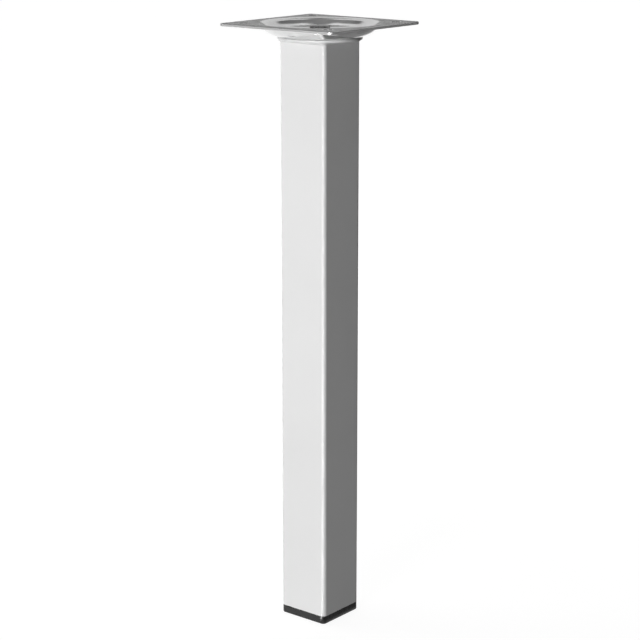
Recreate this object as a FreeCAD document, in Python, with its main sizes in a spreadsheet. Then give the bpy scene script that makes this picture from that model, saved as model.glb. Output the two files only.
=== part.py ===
import FreeCAD
import Part
import Sketcher
import math
import os

# Square metal table leg: a dished mounting plate bolted to a closed square tube with a plastic foot plug.
# Frame: millimetres, +Z up, origin at the centre of the foot's underside.
# The tube's faces look along X and Y.

# Driving dimensions, one cell of the sheet each
SIZES = {
    # Whole leg, from the floor to the underside of the table top
    "leg_height": 430,
    # Square tube
    "tube_side": 40,
    "tube_wall": 1.5,
    "tube_inner_radius": 1.5,
    # Mounting plate, pressed from one sheet
    "plate_side": 98,
    "plate_corner_radius": 3,
    "sheet_thickness": 2,
    "sheet_edge_break": 0.3,
    "dish_border": 6.1,
    "bowl_radius": 15,
    "rim_bend_radius": 4,
    "screw_spacing": 74,
    "screw_hole_diameter": 6.5,
    "hole_edge_width": 0.5,
    "screw_count": 4,
    # Hex bolt through the middle of the dish
    "bolt_diameter": 8,
    "bolt_length": 16,
    "bolt_tip_chamfer": 0.8,
    "bolt_head_flats": 13,
    "bolt_head_height": 5.3,
    "bolt_head_recess": 2,
    "bolt_hole_clearance": 1,
    # Disc that closes the top of the tube, and its weld bead
    "disc_thickness": 2,
    "disc_lip": 0.45,
    "disc_edge_break": 0.4,
    "weld_leg": 1.8,
    "weld_toe": 0.2,
    # Weld nut under the disc
    "nut_flats": 14,
    "nut_height": 6.5,
    "nut_pilot_wall": 1.2,
    "nut_pilot_height": 1.4,
    "nut_pilot_clearance": 0.3,
    "thread_clearance": 0.1,
    # Foot plug: a head that shows and a hollow finned skirt inside the tube
    "foot_head_height": 6,
    "foot_edge_round": 0.8,
    "foot_floor": 3,
    "skirt_length": 24,
    "skirt_wall": 2.2,
    "skirt_gap": 0.7,
    "skirt_radius": 1.5,
    "fin_thickness": 1.2,
    "fin_count": 4,
    "fin_clearance": 0.05,
}

# Sizes that follow from the driving ones, as formulas in the same sheet
FORMULAS = {
    "tube_bore": "tube_side - 2 * tube_wall",
    "tube_outer_radius": "tube_inner_radius + tube_wall",
    "corner_reach": "(tube_side / 2 - tube_outer_radius) * sqrt(2) + tube_outer_radius",
    "disc_diameter": "2 * (corner_reach + weld_leg + disc_lip)",
    "weld_top_side": "tube_side + 2 * weld_leg",
    "weld_top_radius": "tube_outer_radius + weld_leg",
    "weld_low_side": "tube_side + 2 * weld_toe",
    "weld_low_radius": "tube_outer_radius + weld_toe",
    "dish_depth": "bolt_head_height + bolt_head_recess",
    "rim_round": "rim_bend_radius + sheet_thickness",
    "bowl_outer_radius": "bowl_radius + sheet_thickness",
    "bend_span": "bowl_radius + rim_round",
    "wall_run": "sqrt(bend_span ^ 2 - (bend_span - dish_depth) ^ 2)",
    "dish_floor_radius": "plate_side / 2 - dish_border - wall_run",
    "bolt_hole_diameter": "bolt_diameter + bolt_hole_clearance",
    "nut_bore": "bolt_diameter + thread_clearance",
    "nut_pilot_diameter": "nut_bore + 2 * nut_pilot_wall",
    "disc_hole_diameter": "nut_pilot_diameter + nut_pilot_clearance",
    "skirt_side": "tube_bore - 2 * skirt_gap",
    "skirt_hollow_side": "skirt_side - 2 * skirt_wall",
    "fin_side": "tube_bore - 2 * fin_clearance",
    "fin_pitch": "skirt_length / (fin_count + 1)",
    "dish_floor_level": "leg_height - dish_depth",
    "disc_level": "dish_floor_level - sheet_thickness - disc_thickness",
    "tube_length": "disc_level - foot_head_height",
}

CHAMFER_ANGLE = 30
FULL_TURN = 360
SQUARE_SIDES = 4
HEXAGON_SIDES = 6
UPWARD = FreeCAD.Vector(0, 0, 1)
LINE_START, LINE_END, ARC_CENTRE = 1, 2, 3
ORIGIN_POINT = (-1, 1)
NEAR = 1e-6
CUTTING = ("PartDesign::Pocket", "PartDesign::Groove")


# The document and its sheet

doc = FreeCAD.newDocument("TableLeg")
sheet = doc.addObject("Spreadsheet::Sheet", "Sizes")


def fill_sheet():
    """Writes each size into its own row: the name in column A, the value or formula in column B."""
    rows = [(name, str(size)) for name, size in SIZES.items()]
    rows += [(name, "=" + formula) for name, formula in FORMULAS.items()]
    for row, (name, content) in enumerate(rows, 1):
        sheet.set(f"A{row}", name)
        sheet.set(f"B{row}", content)
        sheet.setAlias(f"B{row}", name)
    doc.recompute()


def bind(thing, prop, formula):
    """Binds one property to a formula in which every size is a cell of the sheet."""
    words = []
    for word in formula.split():
        known = word in SIZES or word in FORMULAS
        words.append(f"Sizes.{word}" if known else word)
    thing.setExpression(prop, " ".join(words))


def new_body(name, level):
    """An empty body that stands at the given level of the leg."""
    body = doc.addObject("PartDesign::Body", name)
    body.Label = name
    bind(body, "Placement.Base.z", level)
    return body


def origin_feature(body, role):
    return next(item for item in body.Origin.OriginFeatures if item.Role == role)


def new_sketch(body, name, plane="XY_Plane", level="0"):
    """A sketch on one of the body's own planes, with its origin lifted to a level on the body's Z axis."""
    sketch = body.newObject("Sketcher::SketchObject", name)
    sketch.AttachmentSupport = (origin_feature(body, plane), "")
    sketch.MapMode = "FlatFace"
    upward = "z" if plane == "XY_Plane" else "y"
    bind(sketch, f"AttachmentOffset.Base.{upward}", level)
    return sketch


def dimension(sketch, constraint, name, formula):
    """Adds a dimension and binds it to a formula."""
    index = sketch.addConstraint(constraint)
    sketch.renameConstraint(index, name)
    bind(sketch, f"Constraints.{name}", formula)


# Outlines that several pieces share

def value(formula_name):
    """The sheet's present value, as a first guess for a sketch."""
    return float(sheet.get(formula_name))


def rounded_square(sketch, side, corner):
    """A centred square with rounded corners, as four lines and four tangent arcs."""
    half = value(side) / 2
    radius = value(corner)
    inner = half - radius
    quarter = math.radians(FULL_TURN / SQUARE_SIDES)
    lines = []
    arcs = []
    for turn in range(SQUARE_SIDES):
        spin = FreeCAD.Rotation(UPWARD, math.degrees(quarter) * turn)
        start = spin.multVec(FreeCAD.Vector(-inner, -half, 0))
        end = spin.multVec(FreeCAD.Vector(inner, -half, 0))
        centre = spin.multVec(FreeCAD.Vector(inner, -inner, 0))
        first = quarter * (turn - 1)
        circle = Part.Circle(centre, UPWARD, radius)
        lines.append(sketch.addGeometry(Part.LineSegment(start, end)))
        arcs.append(sketch.addGeometry(Part.ArcOfCircle(circle, first, first + quarter)))
    for turn in range(SQUARE_SIDES):
        following = lines[(turn + 1) % SQUARE_SIDES]
        sketch.addConstraint(Sketcher.Constraint("Tangent", lines[turn], LINE_END, arcs[turn], LINE_START))
        sketch.addConstraint(Sketcher.Constraint("Tangent", arcs[turn], LINE_END, following, LINE_START))
        sketch.addConstraint(Sketcher.Constraint("Vertical" if turn % 2 else "Horizontal", lines[turn]))
    for arc in arcs[1:]:
        sketch.addConstraint(Sketcher.Constraint("Equal", arcs[0], arc))
    bottom, right, top, left = lines
    sketch.addConstraint(
        Sketcher.Constraint("Symmetric", bottom, LINE_START, top, LINE_START, *ORIGIN_POINT)
    )
    across = Sketcher.Constraint("DistanceX", left, LINE_START, right, LINE_END, 2 * half)
    along = Sketcher.Constraint("DistanceY", bottom, LINE_START, top, LINE_END, 2 * half)
    dimension(sketch, across, f"{side}_across", side)
    dimension(sketch, along, f"{side}_along", side)
    dimension(sketch, Sketcher.Constraint("Radius", arcs[0], radius), f"{corner}_of_{side}", corner)


def centred_circle(sketch, diameter):
    """A circle about the sketch's origin."""
    circle = sketch.addGeometry(Part.Circle(FreeCAD.Vector(0, 0, 0), UPWARD, value(diameter) / 2))
    sketch.addConstraint(Sketcher.Constraint("Coincident", circle, ARC_CENTRE, *ORIGIN_POINT))
    dimension(sketch, Sketcher.Constraint("Diameter", circle, value(diameter)), diameter, diameter)


def bowl_section(sketch, radius):
    """Half of the dish's section: a flat floor that sweeps up in one arc to a level line at the origin."""
    depth = value("dish_depth")
    floor = value("dish_floor_radius")
    bend = value(radius)
    slope = math.acos((bend - depth) / bend)
    middle = FreeCAD.Vector(0, 0, 0)
    mouth = FreeCAD.Vector(floor + bend * math.sin(slope), 0, 0)
    floor_edge = FreeCAD.Vector(floor, -depth, 0)
    floor_middle = FreeCAD.Vector(0, -depth, 0)
    circle = Part.Circle(FreeCAD.Vector(floor, bend - depth, 0), UPWARD, bend)
    straight_down = -math.pi / 2
    top = sketch.addGeometry(Part.LineSegment(middle, mouth))
    wall = sketch.addGeometry(Part.ArcOfCircle(circle, straight_down, straight_down + slope))
    base = sketch.addGeometry(Part.LineSegment(floor_edge, floor_middle))
    axis = sketch.addGeometry(Part.LineSegment(floor_middle, middle))
    joins = [
        ("Coincident", top, LINE_START, *ORIGIN_POINT),
        ("Coincident", top, LINE_END, wall, LINE_END),
        ("Tangent", wall, LINE_START, base, LINE_START),
        ("Coincident", base, LINE_END, axis, LINE_START),
        ("Coincident", axis, LINE_END, top, LINE_START),
        ("Horizontal", top),
        ("Horizontal", base),
        ("Vertical", axis),
    ]
    for join in joins:
        sketch.addConstraint(Sketcher.Constraint(*join))
    across = Sketcher.Constraint("DistanceX", base, LINE_END, base, LINE_START, floor)
    upright = Sketcher.Constraint("DistanceY", axis, LINE_START, axis, LINE_END, depth)
    dimension(sketch, Sketcher.Constraint("Radius", wall, bend), "bend", radius)
    dimension(sketch, across, "floor", "dish_floor_radius")
    dimension(sketch, upright, "depth", "dish_depth")


# Features

def feature(body, kind, name, sketch=None, **properties):
    """A feature of the body on one sketch, with its plain properties set."""
    made = body.newObject(f"PartDesign::{kind}", name)
    if sketch is not None:
        made.Profile = (sketch, [""])
    for key, setting in properties.items():
        setattr(made, key, setting)
    return made


def pad(body, name, sketch, length, **properties):
    made = feature(body, "Pad", name, sketch, **properties)
    bind(made, "Length", length)
    doc.recompute()
    return made


def cut_through(body, name, sketch):
    """Cuts a sketch's outline right through the body, both ways."""
    made = feature(body, "Pocket", name, sketch, Type="ThroughAll", Midplane=True)
    doc.recompute()
    return made


def turned(body, kind, name, sketch):
    """A full turn of the sketch about its upright axis: Revolution adds, Groove cuts."""
    made = feature(body, kind, name, sketch, ReferenceAxis=(sketch, ["V_Axis"]), Angle=FULL_TURN)
    doc.recompute()
    return made


def dress(body, kind, name, base, wanted, size_name, size):
    """A Fillet or Chamfer on the base feature's edges that are wanted."""
    edges = [f"Edge{i}" for i, edge in enumerate(base.Shape.Edges, 1) if wanted(edge)]
    made = feature(body, kind, name, Base=(base, edges))
    bind(made, size_name, size)
    doc.recompute()
    return made


def round_bar(body, name, diameter, length, level):
    """A cylinder on the body's Z axis, from a level upwards."""
    made = feature(body, "AdditiveCylinder", name)
    bind(made, "Radius", f"{diameter} / 2")
    bind(made, "Height", length)
    bind(made, "AttachmentOffset.Base.z", level)
    made.AttachmentSupport = (origin_feature(body, "XY_Plane"), "")
    made.MapMode = "FlatFace"
    doc.recompute()
    return made


def hexagon(body, name, flats, height):
    """A six-sided prism on the body's XY plane, sized across its flats."""
    made = feature(body, "AdditivePrism", name, Polygon=HEXAGON_SIDES)
    bind(made, "Circumradius", f"{flats} / sqrt(3)")
    bind(made, "Height", height)
    doc.recompute()
    return made


def level_circle(level, radius=None):
    """Picks whole circles that lie level at one height of the body, of any radius or of the given one."""
    def wanted(edge):
        box = edge.BoundBox
        flat = box.ZLength < NEAR and abs(box.ZMin - level) < NEAR
        circle = edge.isClosed() and isinstance(edge.Curve, Part.Circle)
        return flat and circle and (radius is None or abs(edge.Curve.Radius - radius) < NEAR)
    return wanted


def level_edge(edge):
    return edge.BoundBox.ZLength < NEAR


def lowest_edge(edge):
    return edge.BoundBox.ZMax < NEAR


# Sub-parts

def make_mounting_plate():
    """A square sheet with a round dish pressed down in the middle; its top face is at the body's origin."""
    body = new_body("mounting_plate", "leg_height")
    outline = new_sketch(body, "PlateOutline", level="- sheet_thickness")
    rounded_square(outline, "plate_side", "plate_corner_radius")
    blank = pad(body, "PlateBlank", outline, "sheet_thickness")
    dress(body, "Chamfer", "PlateEdges", blank, level_edge, "Size", "sheet_edge_break")

    outside = new_sketch(body, "DishOutside", "XZ_Plane", "- sheet_thickness")
    bowl_section(outside, "bowl_outer_radius")
    bulge = turned(body, "Revolution", "DishBulge", outside)
    under = level_circle(-value("sheet_thickness"))
    dress(body, "Fillet", "RimUnderside", bulge, under, "Radius", "rim_bend_radius")

    inside = new_sketch(body, "DishInside", "XZ_Plane")
    bowl_section(inside, "bowl_radius")
    well = turned(body, "Groove", "DishWell", inside)
    dress(body, "Fillet", "RimTop", well, level_circle(0), "Radius", "rim_round")

    middle = new_sketch(body, "BoltHoleCircle")
    centred_circle(middle, "bolt_hole_diameter")
    cut_through(body, "BoltHole", middle)
    make_screw_holes(body)
    return body


def make_screw_holes(body):
    """One punched hole in a corner of the plate, turned round to every corner, with its top edge broken."""
    place = new_sketch(body, "ScrewHolePlace")
    reach = value("screw_spacing") / 2
    radius = value("screw_hole_diameter") / 2
    outline = Part.Circle(FreeCAD.Vector(reach, reach, 0), UPWARD, radius)
    circle = place.addGeometry(outline)
    for axis in ("X", "Y"):
        centre = Sketcher.Constraint(f"Distance{axis}", *ORIGIN_POINT, circle, ARC_CENTRE, reach)
        dimension(place, centre, f"reach_{axis}", "screw_spacing / 2")
    dimension(place, Sketcher.Constraint("Radius", circle, radius), "radius", "screw_hole_diameter / 2")
    hole = cut_through(body, "ScrewHole", place)
    holes = feature(body, "PolarPattern", "ScrewHoles", Originals=[hole], Angle=FULL_TURN)
    holes.Axis = (origin_feature(body, "Z_Axis"), [""])
    bind(holes, "Occurrences", "screw_count")
    body.Tip = holes
    doc.recompute()
    dress(body, "Chamfer", "ScrewHoleEdges", holes, level_circle(0, radius), "Size", "hole_edge_width")


def break_hex_corners(body, flats, height):
    """Turns a shallow cone off the top corners of a hexagon, down to its flats."""
    section = new_sketch(body, "CornerBreak", "XZ_Plane")
    outer = value(flats)
    inner = outer / 2
    top = value(height)
    fall = (outer - inner) * math.tan(math.radians(CHAMFER_ANGLE))
    points = [(inner, top), (outer, top), (outer, top - fall)]
    corners = [FreeCAD.Vector(across, up, 0) for across, up in points]
    lines = []
    for start, end in zip(corners, corners[1:] + corners[:1]):
        lines.append(section.addGeometry(Part.LineSegment(start, end)))
    level, side, slope = lines
    for line, following in ((level, side), (side, slope), (slope, level)):
        section.addConstraint(Sketcher.Constraint("Coincident", line, LINE_END, following, LINE_START))
    section.addConstraint(Sketcher.Constraint("Horizontal", level))
    section.addConstraint(Sketcher.Constraint("Vertical", side))
    start = Sketcher.Constraint("DistanceX", *ORIGIN_POINT, level, LINE_START, inner)
    reach = Sketcher.Constraint("DistanceX", level, LINE_START, level, LINE_END, outer - inner)
    rise = Sketcher.Constraint("DistanceY", *ORIGIN_POINT, level, LINE_START, top)
    drop = Sketcher.Constraint("DistanceY", side, LINE_END, side, LINE_START, fall)
    dimension(section, start, "start", f"{flats} / 2")
    dimension(section, reach, "reach", f"{flats} / 2")
    dimension(section, rise, "rise", height)
    dimension(section, drop, "drop", f"{flats} / 2 * tan({CHAMFER_ANGLE}deg)")
    return turned(body, "Groove", "CornerBreakCut", section)


def make_centre_bolt():
    """A hex-head bolt, head up on the floor of the dish; the head's seat is at the body's origin."""
    body = new_body("centre_bolt", "dish_floor_level")
    hexagon(body, "Head", "bolt_head_flats", "bolt_head_height")
    break_hex_corners(body, "bolt_head_flats", "bolt_head_height")
    shank = round_bar(body, "Shank", "bolt_diameter", "bolt_length", "- bolt_length")
    tip = level_circle(-value("bolt_length"))
    dress(body, "Chamfer", "Tip", shank, tip, "Size", "bolt_tip_chamfer")
    return body


def make_end_disc():
    """A round disc that closes the tube and reaches past its corners."""
    body = new_body("end_disc", "disc_level")
    outline = new_sketch(body, "DiscOutline")
    centred_circle(outline, "disc_diameter")
    centred_circle(outline, "disc_hole_diameter")
    blank = pad(body, "Disc", outline, "disc_thickness")
    reach = value("disc_diameter") / 2

    def rim(edge):
        return level_edge(edge) and abs(edge.Curve.Radius - reach) < NEAR

    dress(body, "Chamfer", "DiscEdges", blank, rim, "Size", "disc_edge_break")
    return body


def make_weld_nut():
    """A hex nut under the disc, with a pilot that centres it in the hole; its seat is at the origin."""
    body = new_body("weld_nut", "disc_level")
    body.Placement.Rotation = FreeCAD.Rotation(FreeCAD.Vector(1, 0, 0), FULL_TURN / 2)
    hexagon(body, "NutHexagon", "nut_flats", "nut_height")
    break_hex_corners(body, "nut_flats", "nut_height")
    round_bar(body, "Pilot", "nut_pilot_diameter", "nut_pilot_height", "- nut_pilot_height")
    bore = new_sketch(body, "ThreadCircle")
    centred_circle(bore, "nut_bore")
    cut_through(body, "Thread", bore)
    return body


def make_tube_weld():
    """A fillet weld round the tube, in the corner under the disc; its top is at the body's origin."""
    body = new_body("tube_weld", "disc_level")
    low = new_sketch(body, "WeldToe", level="- weld_leg")
    rounded_square(low, "weld_low_side", "weld_low_radius")
    high = new_sketch(body, "WeldSeat")
    rounded_square(high, "weld_top_side", "weld_top_radius")
    feature(body, "AdditiveLoft", "Bead", low, Sections=[high], Ruled=True)
    doc.recompute()
    tube = new_sketch(body, "TubeOutline")
    rounded_square(tube, "tube_side", "tube_outer_radius")
    cut_through(body, "TubeRoom", tube)
    return body


def make_leg_tube():
    """The square tube, from the foot's head up to the disc."""
    body = new_body("leg_tube", "foot_head_height")
    section = new_sketch(body, "TubeSection")
    rounded_square(section, "tube_side", "tube_outer_radius")
    rounded_square(section, "tube_bore", "tube_inner_radius")
    pad(body, "Tube", section, "tube_length")
    return body


def make_foot_plug():
    """The foot: a head flush with the tube, and a hollow skirt with fins that grip the tube's bore."""
    body = new_body("foot_plug", "0")
    outline = new_sketch(body, "HeadOutline")
    rounded_square(outline, "tube_side", "tube_outer_radius")
    head = pad(body, "Head", outline, "foot_head_height")
    dress(body, "Fillet", "HeadEdges", head, lowest_edge, "Radius", "foot_edge_round")

    skirt = new_sketch(body, "SkirtOutline", level="foot_head_height")
    rounded_square(skirt, "skirt_side", "skirt_radius")
    pad(body, "Skirt", skirt, "skirt_length")

    lowest = new_sketch(body, "FinOutline", level="foot_head_height + fin_pitch - fin_thickness")
    rounded_square(lowest, "fin_side", "tube_inner_radius")
    fin = pad(body, "Fin", lowest, "fin_thickness")
    fins = feature(body, "LinearPattern", "Fins", Originals=[fin])
    fins.Direction = (origin_feature(body, "Z_Axis"), [""])
    bind(fins, "Length", "fin_pitch * ( fin_count - 1 )")
    bind(fins, "Occurrences", "fin_count")
    body.Tip = fins
    doc.recompute()

    mouth = new_sketch(body, "HollowOutline", level="foot_head_height + skirt_length")
    rounded_square(mouth, "skirt_hollow_side", "skirt_radius")
    hollow = feature(body, "Pocket", "Hollow", mouth)
    bind(hollow, "Length", "foot_head_height + skirt_length - foot_floor")
    doc.recompute()
    return body


def check_document():
    """Stops if any object failed, or a cut took nothing away."""
    doc.recompute()
    for item in doc.Objects:
        if "Invalid" in item.State or "Error" in item.State:
            raise RuntimeError(f"{item.Label} failed: {item.State}")
        if item.TypeId in CUTTING and item.Shape.Volume >= item.BaseFeature.Shape.Volume - NEAR:
            raise RuntimeError(f"{item.Label} cuts nothing")


def write(sub_part):
    """Writes one sub-part's solid to its own file."""
    shape = sub_part.Shape
    if shape.isNull() or not shape.isValid() or len(shape.Solids) != 1:
        raise RuntimeError(f"{sub_part.Label} isn't one valid solid")
    shape.exportStep(f"parts/{sub_part.Label}.step")


fill_sheet()
sub_parts = [
    make_mounting_plate(),
    make_centre_bolt(),
    make_end_disc(),
    make_weld_nut(),
    make_tube_weld(),
    make_leg_tube(),
    make_foot_plug(),
]
check_document()
os.makedirs("parts", exist_ok=True)
for sub_part in sub_parts:
    write(sub_part)
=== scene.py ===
import math

import bpy
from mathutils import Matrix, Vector


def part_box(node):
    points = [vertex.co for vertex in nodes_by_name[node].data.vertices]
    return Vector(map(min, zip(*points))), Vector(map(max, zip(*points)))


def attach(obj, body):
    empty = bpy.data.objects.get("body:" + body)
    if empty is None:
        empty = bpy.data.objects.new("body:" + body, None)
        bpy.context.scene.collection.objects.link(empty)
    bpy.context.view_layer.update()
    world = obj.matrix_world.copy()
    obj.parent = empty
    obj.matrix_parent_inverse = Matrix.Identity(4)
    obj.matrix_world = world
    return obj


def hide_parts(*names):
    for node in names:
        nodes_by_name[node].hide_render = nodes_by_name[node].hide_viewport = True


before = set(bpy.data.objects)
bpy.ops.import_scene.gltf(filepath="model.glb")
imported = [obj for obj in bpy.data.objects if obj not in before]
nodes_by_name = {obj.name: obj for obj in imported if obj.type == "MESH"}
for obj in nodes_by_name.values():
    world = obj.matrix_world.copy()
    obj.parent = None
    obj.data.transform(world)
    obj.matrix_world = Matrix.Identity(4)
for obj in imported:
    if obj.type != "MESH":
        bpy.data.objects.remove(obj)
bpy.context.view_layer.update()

# Sizes are in metres, angles in degrees and lamp powers in watts, unless a name says otherwise.
# An azimuth is counted round the leg from its -Y side towards +X.

CAMERA_AZIMUTH = 39.3
CAMERA_DISTANCE = 1.30
CAMERA_HEIGHT = 0.5485
CAMERA_AIM_HEIGHT = 0.2205
CAMERA_LENS_MM = 106.3
SENSOR_WIDTH_MM = 36.0

# Finishes: the darkest and lightest tone, and the least and greatest roughness
COAT_TONES = (0.755, 0.785)
COAT_ROUGHNESS = (0.34, 0.41)
COAT_IOR = 1.5
PLATE_TONES = (0.68, 0.74)
PLATE_ROUGHNESS = (0.14, 0.20)
SHEARED_TONE = 0.50
SHEARED_ROUGHER_BY = 0.42
SHEARED_NORMAL_Z, FLAT_NORMAL_Z = 0.15, 0.45
BOLT_TONES = (0.26, 0.34)
BOLT_ROUGHNESS = (0.24, 0.36)
PLASTIC_TONES = (0.011, 0.016)
PLASTIC_ROUGHNESS = (0.25, 0.32)
PLASTIC_IOR = 1.45

# Press marks on the plate: rings in the dish and rolling lines along X
DISH_INSIDE_RADIUS, DISH_OUTSIDE_RADIUS = 0.041, 0.043
RING_RADIANS_PER_METRE = 5200.0
RING_WOBBLE_RADIANS = 3.0
RING_SHARE = 0.25
ROLLING_STRETCH = (0.03, 1.0, 1.0)

# Weld bead
TUBE_CORNER = 0.003
RIPPLE_PITCH = 0.0016
RIPPLE_HEIGHT = 0.00013
RIPPLE_BOW = 0.0035
RIPPLE_BASE = 0.6
RIPPLE_ROWS = 7.0
WANDER_WAVES = 9.0
WANDER_SHARE = 0.18
BEAD_BULGE = 0.00005
BEAD_TOE = 0.00008
BEAD_STRIPS = 8
FEWEST_CORNER_STEPS = 6
TUBE_SIDES = 4
DIAGONAL = math.sqrt(0.5)

# Stage: its floor and world look white but light the leg only a little
FLOOR_SIDE = 40.0
FLOOR_TONES = (0.22, 0.23)
FLOOR_GLOW = (0.92, 0.99)
FLOOR_GLOW_NEAR, FLOOR_GLOW_FAR = 0.20, 1.2
WORLD_LIGHT, WORLD_SEEN = 0.06, 1.0
STAGE_ROUGHNESS = 0.9
CARD_TONE_DRIFT = 1.1
FIRST_DIFFUSE_BOUNCE = 0.5

# Softboxes: name, azimuth, distance, height, (width, height), power
LAMP_TARGET = Vector((0.0, 0.0, 0.2))
LAMPS = (
    ("key_softbox", 11.0, 2.6, 0.22, (0.9, 0.42), 57.0),
    ("back_softbox", 218.0, 1.35, 1.3, (2.0, 1.6), 9.0),
    ("left_softbox", 286.0, 1.8, 0.75, (1.3, 1.2), 13.0),
)

# Upright cards, each a painted reflection: name, azimuth, distance, height, (width, height), tone, glow
# key_card paints the key softbox's highlight in reflections, the flags paint dim or dark reflections,
# and strip_mask keeps the painted reflection of edge_strip out of the plate's underside.
STANDING_CARDS = (
    ("key_card", 11.0, 2.6, 0.24, (0.9, 0.44), 0.8, 6.0),
    ("right_flag", 138.0, 0.30, 0.33, (0.6, 0.64), 0.25, 0.0),
    ("back_flag", 220.0, 1.0, 0.54, (2.4, 0.13), 0.30, 0.0),
    ("upper_back_flag", 220.0, 1.02, 1.15, (2.4, 1.09), 0.40, 0.53),
    ("rear_right_flag", 165.0, 1.4, 0.9, (0.9, 1.2), 0.90, 0.0),
    ("rear_left_flag", 272.0, 1.4, 0.9, (0.9, 1.2), 0.90, 0.0),
    ("strip_mask", 5.1, 0.1004, 0.3785, (0.058, 0.067), 0.2, 0.9),
)

# Level cards, each a painted reflection: name, azimuth, distance, height, (width, length, and the far
# width of a wedge), tone, glow
# edge_strip paints the highlight along the tube's front corner, the top strips paint the two bright
# reflections beside the bolt, and the flags paint dark reflections.
LYING_CARDS = (
    ("top_flag", 220.0, 0.30, 2.05, (3.8, 3.4), 0.30, 0.09),
    ("top_right_strip", 183.5, 1.2, 2.04, (0.42, 1.5), 0.8, 0.60),
    ("top_left_strip", 255.0, 1.2, 2.04, (0.42, 1.5), 0.8, 0.60),
    ("rear_flag", 182.0, 0.70, 0.0004, (0.7, 1.1), 0.1, 0.2),
    ("low_flag", 90.0, 0.222, 0.0006, (0.5, 0.4), 0.02, 0.20),
    ("edge_strip", 25.0, 4.53, 0.0008, (0.003, 9.0, 3.75), 0.8, 25.0),
)


def round_the_axis(azimuth, distance, height):
    """The point at that azimuth round the leg."""
    turn = math.radians(azimuth)
    return Vector((distance * math.sin(turn), -distance * math.cos(turn), height))


def facing(start, target):
    """The rotation of a camera, lamp or card at start that looks at target."""
    return (target - start).to_track_quat("-Z", "Y").to_euler()


def put_in_scene(thing):
    bpy.context.scene.collection.objects.link(thing)


# Node helpers

def new_material(name):
    made = bpy.data.materials.new(name)
    made.use_nodes = True
    return made


def add(material, kind, **sockets):
    """Adds a node and sets the named input sockets."""
    node = material.node_tree.nodes.new(kind)
    for socket, value in sockets.items():
        node.inputs[socket.replace("_", " ")].default_value = value
    return node


def link(material, start, end):
    material.node_tree.links.new(start, end)


def surface(material):
    return material.node_tree.nodes["Principled BSDF"]


def grey(level):
    return (level, level, level, 1.0)


def place(material):
    """The point on the surface in the leg's own frame, in metres."""
    return add(material, "ShaderNodeTexCoord").outputs["Object"]


def split(material, vector):
    """The X, Y and Z of a vector."""
    node = add(material, "ShaderNodeSeparateXYZ")
    link(material, vector, node.inputs["Vector"])
    return node.outputs


def noise(material, grain, detail=2.0, roughness=0.5, stretch=(1.0, 1.0, 1.0)):
    """Noise whose features are about grain metres across."""
    mapping = add(material, "ShaderNodeMapping", Scale=stretch)
    link(material, place(material), mapping.inputs["Vector"])
    node = add(material, "ShaderNodeTexNoise", Scale=1.0 / grain, Detail=detail, Roughness=roughness)
    link(material, mapping.outputs["Vector"], node.inputs["Vector"])
    return node.outputs["Fac"]


def between(material, amount, low, high, start=0.3, end=0.7):
    """Maps amount from start..end to low..high; the middle of a noise by default."""
    node = add(material, "ShaderNodeMapRange",
               From_Min=start, From_Max=end, To_Min=low, To_Max=high)
    link(material, amount, node.inputs["Value"])
    return node.outputs["Result"]


def blend(material, amount, low, high):
    """Mixes two colours by amount, each a tuple or another node's output."""
    node = material.node_tree.nodes.new("ShaderNodeMix")
    node.data_type = "RGBA"
    link(material, amount, node.inputs["Factor"])
    for socket, value in (("A_Color", low), ("B_Color", high)):
        target = next(i for i in node.inputs if i.identifier == socket)
        if isinstance(value, tuple):
            target.default_value = value
        else:
            link(material, value, target)
    return next(o for o in node.outputs if o.identifier == "Result_Color")


def tones(material, amount, darkest_and_lightest):
    """A grey between two tones, by the middle of a noise."""
    darkest, lightest = darkest_and_lightest
    return blend(material, between(material, amount, 0.0, 1.0), grey(darkest), grey(lightest))


def sums(material, operation, first, second=None):
    """A math node on one or two values, each a number or another node's output."""
    node = material.node_tree.nodes.new("ShaderNodeMath")
    node.operation = operation
    for socket, value in zip(node.inputs, (first, second)):
        if value is None:
            continue
        if isinstance(value, (int, float)):
            socket.default_value = value
        else:
            link(material, value, socket)
    return node.outputs["Value"]


def bump(material, height, depth):
    """Bumps the surface by height, from 0 to depth metres."""
    node = add(material, "ShaderNodeBump", Strength=1.0, Distance=depth)
    link(material, height, node.inputs["Height"])
    link(material, node.outputs["Normal"], surface(material).inputs["Normal"])


# Materials

def coated_steel():
    """Satin light grey powder coat with a faint orange peel."""
    made = new_material("coated_steel")
    shader = surface(made)
    shader.inputs["IOR"].default_value = COAT_IOR
    drift = noise(made, grain=0.09, detail=3.0)
    link(made, tones(made, drift, COAT_TONES), shader.inputs["Base Color"])
    haze = noise(made, grain=0.012, detail=4.0, roughness=0.6)
    link(made, between(made, haze, *COAT_ROUGHNESS), shader.inputs["Roughness"])
    bump(made, noise(made, grain=0.0011, detail=1.5), depth=0.000012)
    return made


def press_marks(made):
    """The height of the draw rings in the dish and the rolling lines all over."""
    point = split(made, place(made))
    radius = sums(made, "SQRT", sums(made, "ADD", sums(made, "POWER", point["X"], 2.0),
                                     sums(made, "POWER", point["Y"], 2.0)))
    in_dish = between(made, radius, 1.0, 0.0, DISH_INSIDE_RADIUS, DISH_OUTSIDE_RADIUS)
    wobble = sums(made, "MULTIPLY", noise(made, grain=0.0009, detail=1.0), RING_WOBBLE_RADIANS)
    turns = sums(made, "MULTIPLY", radius, RING_RADIANS_PER_METRE)
    rings = sums(made, "MULTIPLY", sums(made, "SINE", sums(made, "ADD", turns, wobble)), RING_SHARE)
    rolling = noise(made, grain=0.0005, stretch=ROLLING_STRETCH)
    return sums(made, "ADD", sums(made, "MULTIPLY", in_dish, rings), rolling)


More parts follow.
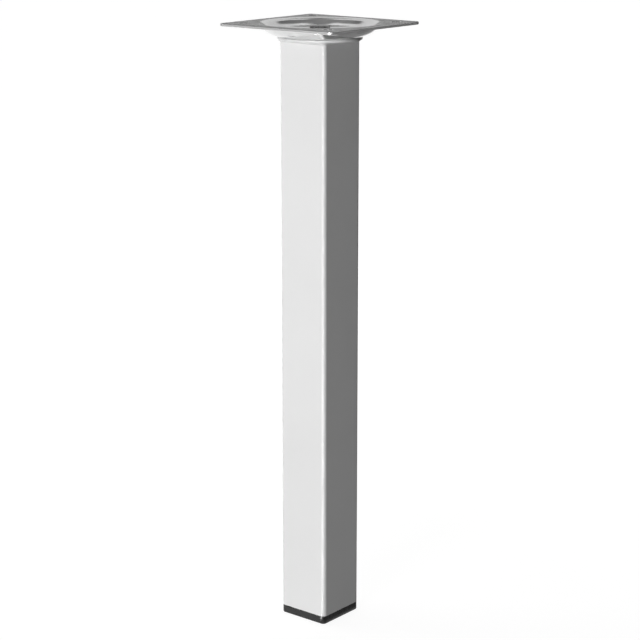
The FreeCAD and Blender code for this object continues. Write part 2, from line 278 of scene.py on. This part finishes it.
def plated_steel():
    """Bright plated sheet: draw rings in the dish, rolling lines on the flat, dull sheared edges."""
    made = new_material("plated_steel")
    shader = surface(made)
    shader.inputs["Metallic"].default_value = 1.0
    bump(made, press_marks(made), depth=0.000004)
    normal = split(made, add(made, "ShaderNodeNewGeometry").outputs["Normal"])
    sheared = between(made, sums(made, "ABSOLUTE", normal["Z"]), 1.0, 0.0,
                      SHEARED_NORMAL_Z, FLAT_NORMAL_Z)
    cloud = noise(made, grain=0.006, detail=4.0, roughness=0.6)
    link(made, blend(made, sheared, tones(made, cloud, PLATE_TONES), grey(SHEARED_TONE)),
         shader.inputs["Base Color"])
    link(made, sums(made, "ADD", between(made, cloud, *PLATE_ROUGHNESS),
                    sums(made, "MULTIPLY", sheared, SHEARED_ROUGHER_BY)),
         shader.inputs["Roughness"])
    return made


def bolt_steel():
    """Zinc plated steel, a little clouded."""
    made = new_material("bolt_steel")
    shader = surface(made)
    shader.inputs["Metallic"].default_value = 1.0
    cloud = noise(made, grain=0.003, detail=4.0, roughness=0.6)
    link(made, tones(made, cloud, BOLT_TONES), shader.inputs["Base Color"])
    link(made, between(made, cloud, *BOLT_ROUGHNESS), shader.inputs["Roughness"])
    bump(made, noise(made, grain=0.0006, detail=3.0), depth=0.00002)
    return made


def black_plastic():
    """Black moulded plastic with a fine spark-eroded grain."""
    made = new_material("black_plastic")
    shader = surface(made)
    shader.inputs["IOR"].default_value = PLASTIC_IOR
    cloud = noise(made, grain=0.005, detail=3.0)
    link(made, tones(made, cloud, PLASTIC_TONES), shader.inputs["Base Color"])
    link(made, between(made, cloud, *PLASTIC_ROUGHNESS), shader.inputs["Roughness"])
    bump(made, noise(made, grain=0.0004), depth=0.00003)
    return made


def dress_nodes():
    """Gives each CAD node its finish and returns the finishes by slot."""
    makers = {
        "plated_steel": (plated_steel, ("mounting_plate",)),
        "bolt_steel": (bolt_steel, ("centre_bolt", "weld_nut")),
        "coated_steel": (coated_steel, ("end_disc", "tube_weld", "leg_tube")),
        "black_plastic": (black_plastic, ("foot_plug",)),
    }
    finishes = {}
    for slot, (maker, names) in makers.items():
        finishes[slot] = maker()
        for name in names:
            node = nodes_by_name[name]
            node.data.materials.clear()
            node.data.materials.append(finishes[slot])
    return finishes


# Weld bead

def tube_path(half, corner, step):
    """Points round the tube's outline with their outward directions and distances along it."""
    straight = half - corner
    quarter = math.pi / 2.0
    line, arc = 2.0 * straight, quarter * corner
    line_steps = round(line / step)
    arc_steps = max(FEWEST_CORNER_STEPS, round(arc / step))
    path = []
    travelled = 0.0
    for side in range(TUBE_SIDES):
        turn = side * quarter
        along = Vector((math.cos(turn), math.sin(turn)))
        outward = Vector((along.y, -along.x))
        for i in range(line_steps):
            reach = line * i / line_steps
            point = outward * half + along * (reach - straight)
            path.append((point, outward, travelled + reach))
        travelled += line
        centre = outward * straight + along * straight
        for i in range(arc_steps):
            angle = turn - quarter + quarter * i / arc_steps
            direction = Vector((math.cos(angle), math.sin(angle)))
            path.append((centre + direction * corner, direction, travelled + arc * i / arc_steps))
        travelled += arc
    return path, travelled


def bead_points(path, length, leg, low, high):
    """One ring of points for each step of the path: the rippled face, then the corner under the disc."""
    ripples = round(length / RIPPLE_PITCH)
    points = []
    for point, outward, travelled in path:
        wander = math.sin(travelled / length * math.tau * WANDER_WAVES)
        for i in range(BEAD_STRIPS + 1):
            share = i / BEAD_STRIPS
            belly = math.sin(math.pi * share)
            lag = RIPPLE_BOW * (share - 0.5) ** 2
            phase = math.tau * ((travelled - lag) / length * ripples + WANDER_SHARE * wander)
            crest = abs(math.sin(phase / 2.0)) - RIPPLE_BASE
            proud = belly * (BEAD_BULGE + RIPPLE_HEIGHT * crest) + BEAD_TOE * (1.0 - share)
            spot = point + outward * (leg * share + proud * DIAGONAL)
            points.append((spot.x, spot.y, low + (high - low) * share - proud * DIAGONAL * belly))
        points.append((point.x, point.y, high))
    return points


def make_weld_bead(finish):
    """The fillet weld under the disc, with the ripples that a welder's steady strokes leave."""
    weld_low, weld_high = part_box("tube_weld")
    tube_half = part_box("leg_tube")[1][0]
    path, length = tube_path(tube_half, TUBE_CORNER, RIPPLE_PITCH / RIPPLE_ROWS)
    points = bead_points(path, length, weld_high[0] - tube_half, weld_low[2], weld_high[2])
    ring = BEAD_STRIPS + 2
    faces = []
    for row in range(len(path)):
        here, there = row * ring, (row + 1) % len(path) * ring
        for i in range(ring):
            j = (i + 1) % ring
            faces.append((here + i, there + i, there + j, here + j))
    mesh = bpy.data.meshes.new("weld_bead")
    mesh.from_pydata(points, [], faces)
    mesh.shade_smooth()
    seams = (0, BEAD_STRIPS, BEAD_STRIPS + 1)
    for edge in mesh.edges:
        first, second = edge.vertices
        if first % ring == second % ring and first % ring in seams:
            edge.use_edge_sharp = True
    mesh.materials.append(finish)
    bead = bpy.data.objects.new("weld_bead", mesh)
    put_in_scene(bead)
    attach(bead, "root")
    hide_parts("tube_weld")


# Stage

def stage_plane(name, centre, rotation, width, height, far_width=None):
    """A flat stage piece; a far_width makes a wedge of it, with that width at its -Y edge."""
    mesh = bpy.data.meshes.new(name)
    near, far, half = width / 2.0, (far_width or width) / 2.0, height / 2.0
    corners = [(-far, -half, 0.0), (far, -half, 0.0), (near, half, 0.0), (-near, half, 0.0)]
    mesh.from_pydata(corners, [], [(0, 1, 2, 3)])
    plane = bpy.data.objects.new(name, mesh)
    plane.location = centre
    plane.rotation_euler = rotation
    put_in_scene(plane)
    return plane


def seen(material):
    """1 where the camera, a mirror or glass shows the piece, 0 where it would light a surface."""
    path = add(material, "ShaderNodeLightPath").outputs
    either = sums(material, "MAXIMUM", path["Is Camera Ray"], path["Is Glossy Ray"])
    any_of_them = sums(material, "MAXIMUM", either, path["Is Transmission Ray"])
    direct = sums(material, "LESS_THAN", path["Diffuse Depth"], FIRST_DIFFUSE_BOUNCE)
    return sums(material, "MULTIPLY", any_of_them, direct)


def stage_material(name):
    """A matt finish whose glow is white."""
    made = new_material(name)
    surface(made).inputs["Roughness"].default_value = STAGE_ROUGHNESS
    surface(made).inputs["Emission Color"].default_value = grey(1.0)
    return made


def make_floor():
    """A grey floor that glows near white to the eye and still takes the leg's shadow."""
    made = stage_material("studio_floor")
    shader = surface(made)
    shader.inputs["Specular IOR Level"].default_value = 0.0
    darkest, lightest = FLOOR_TONES
    link(made, blend(made, noise(made, grain=0.4), grey(darkest), grey(lightest)),
         shader.inputs["Base Color"])
    away = add(made, "ShaderNodeVectorMath")
    away.operation = "LENGTH"
    link(made, place(made), away.inputs[0])
    glow = between(made, away.outputs["Value"], *FLOOR_GLOW, FLOOR_GLOW_NEAR, FLOOR_GLOW_FAR)
    link(made, sums(made, "MULTIPLY", seen(made), glow), shader.inputs["Emission Strength"])
    floor = stage_plane("studio_floor", (0.0, 0.0, 0.0), (0.0, 0.0, 0.0), FLOOR_SIDE, FLOOR_SIDE)
    floor.data.materials.append(made)


def make_reflection_card(name, centre, rotation, size, tone, glow):
    """A card that shows in reflections only and lights nothing: a painted reflection, dark where its
    glow is nought and a painted highlight where it glows.
    """
    made = stage_material(name)
    shader = surface(made)
    link(made, sums(made, "MULTIPLY", seen(made), glow), shader.inputs["Emission Strength"])
    drift = noise(made, grain=0.1)
    link(made, blend(made, drift, grey(tone), grey(tone * CARD_TONE_DRIFT)),
         shader.inputs["Base Color"])
    card = stage_plane(name, centre, rotation, *size)
    card.data.materials.append(made)
    card.visible_camera = False
    card.visible_diffuse = False
    card.visible_shadow = False


def standing_card(name, azimuth, distance, height, size, tone, glow):
    """An upright card that faces the leg's axis."""
    centre = round_the_axis(azimuth, distance, height)
    make_reflection_card(name, centre, facing(centre, Vector((0.0, 0.0, height))), size, tone, glow)


def lying_card(name, azimuth, distance, height, size, tone, glow):
    """A level card whose width runs across the line to the leg's axis."""
    centre = round_the_axis(azimuth, distance, height)
    make_reflection_card(name, centre, (0.0, 0.0, math.radians(azimuth)), size, tone, glow)


def make_lamp(name, azimuth, distance, height, size, power):
    """A softbox that faces the leg and shows in no reflection."""
    lamp = bpy.data.lights.new(name, "AREA")
    lamp.shape = "RECTANGLE"
    lamp.size, lamp.size_y = size
    lamp.energy = power
    holder = bpy.data.objects.new(name, lamp)
    holder.location = round_the_axis(azimuth, distance, height)
    holder.rotation_euler = facing(holder.location, LAMP_TARGET)
    holder.visible_camera = False
    holder.visible_glossy = False
    put_in_scene(holder)


def make_world():
    """White to the camera and in reflections, with a little light of its own."""
    world = bpy.data.worlds.new("studio")
    world.use_nodes = True
    background = world.node_tree.nodes["Background"]
    background.inputs["Color"].default_value = grey(1.0)
    level = between(world, seen(world), WORLD_LIGHT, WORLD_SEEN, 0.0, 1.0)
    link(world, level, background.inputs["Strength"])
    bpy.context.scene.world = world


def make_camera():
    lens = bpy.data.cameras.new("photo_camera")
    lens.sensor_width = SENSOR_WIDTH_MM
    lens.lens = CAMERA_LENS_MM
    camera = bpy.data.objects.new("photo_camera", lens)
    camera.location = round_the_axis(CAMERA_AZIMUTH, CAMERA_DISTANCE, CAMERA_HEIGHT)
    camera.rotation_euler = facing(camera.location, Vector((0.0, 0.0, CAMERA_AIM_HEIGHT)))
    put_in_scene(camera)
    bpy.context.scene.camera = camera


finishes = dress_nodes()
make_weld_bead(finishes["coated_steel"])
make_floor()
make_world()
for lamp in LAMPS:
    make_lamp(*lamp)
for card in STANDING_CARDS:
    standing_card(*card)
for card in LYING_CARDS:
    lying_card(*card)
make_camera()
bpy.context.scene.view_settings.view_transform = "Standard"
